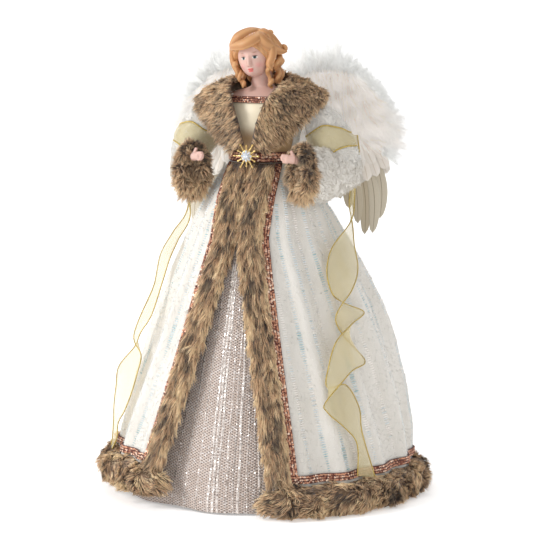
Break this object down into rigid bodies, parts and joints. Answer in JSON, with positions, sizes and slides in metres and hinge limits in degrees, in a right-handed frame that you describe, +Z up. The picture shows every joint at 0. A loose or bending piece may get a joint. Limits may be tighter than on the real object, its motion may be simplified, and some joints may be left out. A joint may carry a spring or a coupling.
{
  "type": "angel tree topper",
  "caption": "Doll-style angel tree topper: bisque head and hands, fur-trimmed plush robe over a knit gown, feather wings, sheer ribbon and a brooch, on a hollow card cone.",
  "frame": {"origin": "on the floor at the middle of the part's box, close under the cone's axis", "axes": "+Z up from the cone's rim to the head, -Y the way the doll faces, +X the doll's own left side"},
  "size_m": [0.295, 0.2632, 0.4056],
  "materials": {
    "card": "matte",
    "foam": "matte",
    "steel": "satin",
    "wood": "matte",
    "bisque": "matte",
    "satin": "satin",
    "sequin_braid": "satin",
    "plush": "matte",
    "gown_knit": "satin",
    "brown_fur": "matte",
    "gold": "polished",
    "crystal": "gloss",
    "wing_card": "matte",
    "feather": "matte",
    "organza": "satin"
  },
  "bodies": {
    "root": {"support_cone": "card", "torso_block": "foam", "shoulder_wire": "steel", "neck_post": "wood", "bisque_bust": "bisque", "satin_bodice": "satin", "neckline_braid": "sequin_braid", "belt_braid": "sequin_braid", "robe_bodice": "plush", "gown_skirt": "gown_knit", "brooch_star": "gold", "brooch_stone": "crystal", "brooch_pin": "steel", "wing_pad": "foam", "ribbon_back_strap": "organza", "robe_skirt_left": "plush", "robe_skirt_right": "plush", "front_fur_left": "brown_fur", "front_fur_right": "brown_fur", "hem_fur_left": "brown_fur", "hem_fur_right": "brown_fur", "front_braid_left": "sequin_braid", "front_braid_right": "sequin_braid", "hem_braid_left": "sequin_braid", "hem_braid_right": "sequin_braid", "fur_collar_left": "brown_fur", "fur_collar_right": "brown_fur", "wing_backing_left": "wing_card", "wing_backing_right": "wing_card", "wing_quills_left": "feather", "wing_quills_right": "feather", "wing_coverts_left": "feather", "wing_coverts_right": "feather", "wing_marabou_left": "feather", "wing_marabou_right": "feather", "ribbon_tail_left": "organza", "ribbon_tail_right": "organza"},
    "arm_left": {"arm_wire_left": "steel", "upper_sleeve_left": "plush", "lower_sleeve_left": "plush", "fur_cuff_left": "brown_fur", "hand_left": "bisque", "ribbon_band_left": "organza"},
    "arm_right": {"arm_wire_right": "steel", "upper_sleeve_right": "plush", "lower_sleeve_right": "plush", "fur_cuff_right": "brown_fur", "hand_right": "bisque", "ribbon_band_right": "organza"}
  },
  "joints": [
    {"name": "arm_lift_left", "type": "hinge", "parent": "root", "child": "arm_left", "pos_m": [0.05, 0, 0.322], "axis": [0, -1, 0], "range_deg": [0, 15], "deforming": ["ribbon_tail_left"]},
    {"name": "arm_lift_right", "type": "hinge", "parent": "root", "child": "arm_right", "pos_m": [-0.05, 0, 0.322], "axis": [0, 1, 0], "range_deg": [0, 15], "deforming": ["ribbon_tail_right"]}
  ]
}
